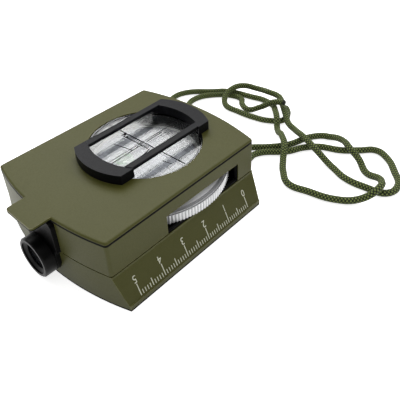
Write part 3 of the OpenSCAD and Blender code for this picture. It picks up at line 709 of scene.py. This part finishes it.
# white enamel over the same sheet, whose brush lines hardly show through
dialEnamel = brushedCard("dialEnamel", {
    "dark": "#D8D8D2", "light": "#E2E2DC", "metallic": 0.0, "roughness": (0.4, 0.5),
})

inkFilm = {
    "grain": 0.25,     # mm, of the uneven cover, coarser than a real screen's mesh
    "thinning": 0.35,  # most that the thin colour shows
    "roughness": 0.6, "shine": 0.08,
}


def printInk(name, colour, thin):
    # Screen-printed ink: a thin matt film with slightly uneven cover.
    material, tree = newMaterial(name)
    place = addNode(tree, "TexCoord").outputs["Object"]
    cover = addNode(tree, "TexNoise", {"Vector": place, "Scale": perMm(inkFilm["grain"]),
                                       "Detail": 2.0}).outputs[0]
    share = addNode(tree, "MapRange", {0: cover, **noiseSpan, 3: 0.0,
                                       4: inkFilm["thinning"]}).outputs[0]
    paint = addNode(tree, "Mix", {0: share, 6: colour, 7: thin}, data_type="RGBA").outputs[2]
    shader = addNode(tree, "BsdfPrincipled", {
        "Base Color": paint, "Roughness": inkFilm["roughness"],
        "Specular IOR Level": inkFilm["shine"],
    })
    addNode(tree, "OutputMaterial", {"Surface": shader.outputs[0]})
    return material


ivoryInk = printInk("ivoryInk", "#E4E5D2", "#C2C3AA")
greyInk = printInk("greyInk", "#5E6064", "#7A7C80")
blackInk = printInk("blackInk", "#070708", "#161618")

finishes = {
    oliveEnamel: ["upper_case", "base_shell"],
    blackEnamel: ["sight_frame", "sight_wire"],
    housingPaint: ["prism_housing"],
    blackAbs: ["eyepiece_barrel", "lens_retainer", "clino_ring"],
    acetal: ["slip_ring"],
    nitrile: ["case_gasket", "capsule_gasket"],
    pendulumLacquer: ["clino_pendulum"],
    satinAluminium: ["azimuth_ring", "capsule_cup"],
    screwSteel: ["case_screws", "hinge_pin", "clino_pin"],
    turnedBrass: ["pivot_post"],
    magnetSteel: ["card_magnet"],
    capAcrylic: ["capsule_cap"],
    acrylic: ["clino_window"],
    vialAcrylic: ["level_vial"],
    greenSpirit: ["level_spirit"],
    crownGlass: ["upper_prism", "lower_prism"],
    eyeLens: ["eyepiece_lens"],
    silveredCard: ["compass_card", "jewel_cup"],
    dialEnamel: ["clino_dial"],
}
for material, names in finishes.items():
    for name in names:
        dress(name, material)
print("CAD pieces dressed")

ruler = {
    # all in mm
    "zero": 24.45,  # its place along Y, counting towards the eyepiece
    "centimetres": 5,
    "start": 2.4,   # height of the marks' lower ends
    "ends": (3.75, 4.75, 6.1),  # upper ends of the mm, 5 mm and cm marks
    "width": 0.25,
    "bold": 1.15,   # how many times as wide the 5 mm and cm marks are
    "thick": 0.04,
    "figureHeight": 7.6,  # of the figures' middle above the floor
    "figureSize": 3.55,
    "bevelFoot": (31.4, 2.0),  # x and z of the bevel's two edges
    "bevelHead": (27.1, 11.3),
}


def rulerPlane(c):
    # a plane on the bevel with its up direction down the slope, as the figures stand
    (footX, footZ), (headX, headZ) = c["bevelFoot"], c["bevelHead"]
    down = Vector((footX - headX, 0, footZ - headZ)).normalized()
    right = Vector((0, -1, 0))
    out = right.cross(down)

    def at(y, z):
        x = footX + (headX - footX) * (z - footZ) / (headZ - footZ)
        return Matrix.Translation(mm(x, y, z)) @ Matrix((right, down, out)).transposed().to_4x4()
    return at, (headZ - footZ) / math.hypot(footX - headX, footZ - headZ)


def printRuler(c):
    at, steepness = rulerPlane(c)
    bm = bmesh.new()
    for tick in range(c["centimetres"] * 10 + 1):
        top = c["ends"][0 if tick % 5 else 1 if tick % 10 else 2]
        length = (top - c["start"]) / steepness
        addBar(bm, at(c["zero"] - tick, (top + c["start"]) / 2), (0, 0, c["thick"] / 2),
               (c["width"] * (1 if tick % 5 else c["bold"]), length, c["thick"]))
    above = Matrix.Translation(mm(0, 0, c["thick"] / 2))
    for number in range(c["centimetres"] + 1):
        addText(bm, str(number), at(c["zero"] - 10 * number, c["figureHeight"]) @ above,
                c["figureSize"], c["thick"])
    newPiece("rulerMarks", meshFrom(bm, "rulerMarks"), ivoryInk, "case")


printRuler(ruler)
print("ruler printed")

glassLines = {
    "level": 25.0,  # mm
    "thick": 0.03,
    "turn": 1.4,  # degrees that the capsule is turned
    # each line is x, y of its two ends, then its width, in mm
    "lines": [
        (-17.8, 7.35, 18.5, 7.35, 0.46),
        (0, -8.6, 0, 6.0, 0.4),
        (0, 8.4, 0, 15.5, 0.4),
        (-9.8, 5.7, 3.4, 5.7, 0.34),
        (-7.8, 0.4, -0.2, 1.85, 0.34),
        (4.8, 0.9, 4.0, 5.7, 0.36),
        (11.9, 4.0, 15.2, 4.65, 0.34),
    ],
    "rungs": (-9.6, 3.4, 0.93, 5.7, 7.35, 0.24),  # first and last x, step, lower and upper y, width
    "blocks": [(-9.1, 6.6, 1.1, 1.0), (-7.2, 6.1, 1.0, 0.8)],  # x, y, length and width
}


def printCap(c):
    bm = bmesh.new()
    plane = Matrix.Translation(mm(0, 0, c["level"] + c["thick"] / 2))
    for x0, y0, x1, y1, width in c["lines"]:
        length = math.hypot(x1 - x0, y1 - y0)
        addBar(bm, plane, ((x0 + x1) / 2, (y0 + y1) / 2, 0), (length, width, c["thick"]),
               math.atan2(y1 - y0, x1 - x0))
    first, last, step, low, high, width = c["rungs"]
    for i in range(int((last - first) / step) + 1):
        addBar(bm, plane, (first + i * step, (low + high) / 2, 0), (width, high - low, c["thick"]))
    for x, y, long, wide in c["blocks"]:
        addBar(bm, plane, (x, y, 0), (long, wide, c["thick"]))
    mesh = meshFrom(bm, "capLines")
    centre = mm(*azimuthCentre)
    turn = Matrix.Rotation(math.radians(c["turn"]), 4, "Z")
    mesh.transform(Matrix.Translation(centre) @ turn @ Matrix.Translation(-centre))
    newPiece("capLines", mesh, blackInk, "azimuth")


printCap(glassLines)

cardScale = {
    "level": 19.3,  # mm, as all the others but the steps
    "thick": 0.03,
    "outer": 16.8,
    "step": 5,  # degrees
    "inner": (16.0, 15.5, 14.8),  # of the 5, 10 and 30 degree marks
    "widths": (0.14, 0.22),  # of the 5 degree marks and the others
    "figureStep": 30,  # degrees
    "figures": 12.6,  # from the middle, as the pointer
    "figureSize": 2.3,
    "pointer": 8.6,
    "pointerRadius": 2.2,
    "pointerShape": (0.6, 1.2),  # its width and length against a regular triangle
}


def printCard(c):
    bm = bmesh.new()
    x, y, _ = azimuthCentre
    hub = Matrix.Translation(mm(x, y, c["level"] + c["thick"] / 2))
    for degrees in range(0, 360, c["step"]):
        inner = c["inner"][2 if degrees % 30 == 0 else 1 if degrees % 10 == 0 else 0]
        width = c["widths"][0 if degrees % 10 else 1]
        spoke = hub @ Matrix.Rotation(-math.radians(degrees), 4, "Z")
        addBar(bm, spoke, (0, (c["outer"] + inner) / 2, 0), (width, c["outer"] - inner, c["thick"]))
    out = Matrix.Translation(mm(0, c["figures"], 0))
    for degrees in range(0, 360, c["figureStep"]):
        spoke = hub @ Matrix.Rotation(-math.radians(degrees), 4, "Z") @ out
        addText(bm, str(degrees), spoke, c["figureSize"], c["thick"])
    # north pointer, a slim triangle
    north = hub @ Matrix.Translation(mm(0, c["pointer"], 0))
    radius = c["pointerRadius"] * milli
    bmesh.ops.create_cone(bm, segments=3, radius1=radius, radius2=radius, cap_ends=True,
                          depth=c["thick"] * milli,
                          matrix=north @ Matrix.Diagonal((*c["pointerShape"], 1.0, 1.0)))
    newPiece("cardMarks", meshFrom(bm, "cardMarks"), greyInk, "card")


printCard(cardScale)

slopeScale = {
    "level": 5.2, "thick": 0.03, "outer": 13.4, "inner": (12.7, 12.0),  # mm
    "width": 0.2, "figures": 9.9, "figureSize": 2.2,
    "step": 5, "figureStep": 30,  # degrees
}


def printSlopes(c):
    bm = bmesh.new()
    # the dial looks down, so its own right is -X
    x, y, _ = azimuthCentre
    middle = Matrix.Translation(mm(x, y, c["level"] - c["thick"] / 2))
    hub = middle @ Matrix.Rotation(math.pi, 4, "Y")
    for degrees in range(0, 360, c["step"]):
        inner = c["inner"][0 if degrees % 10 else 1]
        spoke = hub @ Matrix.Rotation(math.radians(degrees), 4, "Z")
        addBar(bm, spoke, (0, (c["outer"] + inner) / 2, 0),
               (c["width"], c["outer"] - inner, c["thick"]))
    out = Matrix.Translation(mm(0, c["figures"], 0))
    for degrees in range(0, 360, c["figureStep"]):
        value = abs(90 - degrees % 180)
        spoke = hub @ Matrix.Rotation(math.radians(degrees), 4, "Z") @ out
        addText(bm, str(value), spoke, c["figureSize"], c["thick"])
    newPiece("slopeMarks", meshFrom(bm, "slopeMarks"), blackInk, "case")


printSlopes(slopeScale)
print("dials printed")

bubble = {
    "centre": (0.5, -2.3, 22.72), "radius": 0.95,  # mm
    "flat": 0.28,  # its height over its width
    "sides": (32, 16),  # round it and from pole to pole
}


def addBubble(c):
    bm = bmesh.new()
    around, up = c["sides"]
    place = Matrix.Translation(mm(*c["centre"])) @ Matrix.Diagonal((1.0, 1.0, c["flat"], 1.0))
    bmesh.ops.create_uvsphere(bm, u_segments=around, v_segments=up, radius=c["radius"] * milli,
                              matrix=place)
    mesh = meshFrom(bm, "levelBubble")
    for face in mesh.polygons:
        face.use_smooth = True
    newPiece("levelBubble", mesh, airBubble, "azimuth")


addBubble(bubble)
print("level filled")

studio = {
    "floorColour": "#F4F4F4",
    "floorHalf": 3.0,        # m, half the floor's side
    "floorLevel": -0.00005,  # m, just below the case
    "glow": 0.75,            # what makes the paper white where it is seen
    "zenith": 0.66,          # strength of the room's light overhead, where 1 is white
    "horizon": 0.05,         # the same at eye level
    "zenithFrom": 0.8,       # Z of the direction from which the room is at its brightest
    "aim": (0, 5, 12),       # mm, where all lamps look
    # place and size in m, the light's strength where 1 is white, and its turn in degrees
    "lamps": [
        ("leftKey", (-0.55, -0.20, 0.62), 0.60, 0.48, 0),
        ("backSoftbox", (-0.469, 0.248, 0.613), 0.52, 3.6, -34),
        ("rightSoftbox", (-0.152, 0.474, 0.642), 0.45, 2.5, 0),
        ("ringSoftbox", (0.50, 0.46, 0.38), 0.40, 1.4, 0),
    ],
}


def addFloor(c):
    # Matt white background paper: it takes the shadows, and its glow shows only where it is
    # seen, mirrored or looked at through glass.
    material, tree = newMaterial("paperFloor")
    paper = addNode(tree, "BsdfPrincipled", {"Base Color": c["floorColour"], "Roughness": 0.9})
    glow = addNode(tree, "Emission", {"Strength": c["glow"]})
    both = addNode(tree, "AddShader", {0: paper.outputs[0], 1: glow.outputs[0]})
    path = addNode(tree, "LightPath").outputs
    mirrored = addNode(tree, "Math", {0: path["Is Camera Ray"], 1: path["Is Glossy Ray"]},
                       operation="MAXIMUM").outputs[0]
    seen = addNode(tree, "Math", {0: mirrored, 1: path["Is Transmission Ray"]},
                   operation="MAXIMUM").outputs[0]
    mixed = addNode(tree, "MixShader", {0: seen, 1: paper.outputs[0], 2: both.outputs[0]})
    addNode(tree, "OutputMaterial", {"Surface": mixed.outputs[0]})
    bm = bmesh.new()
    bmesh.ops.create_grid(bm, x_segments=1, y_segments=1, size=c["floorHalf"],
                          matrix=Matrix.Translation((0, 0, c["floorLevel"])))
    floor = bpy.data.objects.new("paperFloor", meshFrom(bm, "paperFloor"))
    floor.data.materials.append(material)
    scene.collection.objects.link(floor)


def addLights(c):
    target = mm(*c["aim"])
    for name, place, size, strength, turn in c["lamps"]:
        data = bpy.data.lights.new(name, "AREA")
        data.shape = "SQUARE"
        data.size = size
        data.energy = strength * math.pi * size * size
        lamp = bpy.data.objects.new(name, data)
        aim = (Vector(place) - target).to_track_quat("Z", "Y").to_matrix().to_4x4()
        spin = Matrix.Rotation(math.radians(turn), 4, "Z")
        lamp.matrix_world = Matrix.Translation(place) @ aim @ spin
        scene.collection.objects.link(lamp)
    # the room grows brighter upwards, and the camera sees it white
    world = bpy.data.worlds.new("softRoom")
    scene.world = world
    world.use_nodes = True
    tree = world.node_tree
    tree.nodes.clear()
    direction = addNode(tree, "TexCoord").outputs["Generated"]
    height = addNode(tree, "SeparateXYZ", {0: direction}).outputs[2]
    fall = addNode(tree, "MapRange", {0: height, 1: 0.0, 2: c["zenithFrom"],
                                      3: c["horizon"], 4: c["zenith"]}).outputs[0]
    camera = addNode(tree, "LightPath").outputs["Is Camera Ray"]
    strength = addNode(tree, "Mix", {0: camera, 2: fall, 3: 1.0}, data_type="FLOAT").outputs[0]
    sky = addNode(tree, "Background", {"Color": (1, 1, 1, 1), "Strength": strength})
    addNode(tree, "OutputWorld", {"Surface": sky.outputs[0]})


addFloor(studio)
addLights(studio)
print("floor and lights set")
